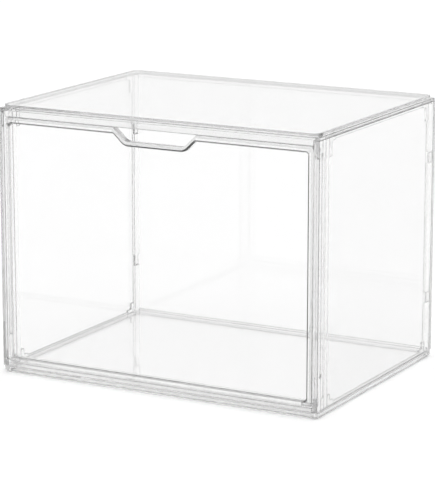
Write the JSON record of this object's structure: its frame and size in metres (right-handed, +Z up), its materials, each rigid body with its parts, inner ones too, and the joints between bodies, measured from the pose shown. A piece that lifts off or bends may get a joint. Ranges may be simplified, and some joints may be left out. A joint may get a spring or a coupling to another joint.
{
  "type": "figure display case",
  "caption": "Clear snap-together display case for figures, with a raised top, tongue-and-slot panels and a drop-down front door that has a finger notch in its top edge.",
  "frame": {"origin": "middle of the footprint, on the surface that the case stands on", "axes": "+X along the width, to the right for someone facing the door; -Y is the door's side; +Z up"},
  "size_m": [0.33, 0.246, 0.2548],
  "materials": {
    "clear_frame": "clear moulded plastic, polished",
    "clear_panel": "clear moulded plastic, polished"
  },
  "bodies": {
    "case": {"base_tray": "clear_frame", "top_cover": "clear_frame", "left_side_panel": "clear_panel", "right_side_panel": "clear_panel", "back_panel": "clear_panel"},
    "door": {"front_door": "clear_frame", "left_hinge_pin": "clear_frame", "right_hinge_pin": "clear_frame"}
  },
  "joints": [
    {"name": "door_hinge", "type": "hinge", "parent": "case", "child": "door", "pos_m": [0, -0.1202, 0.0128], "axis": [1, 0, 0], "range_deg": [0, 90]}
  ]
}
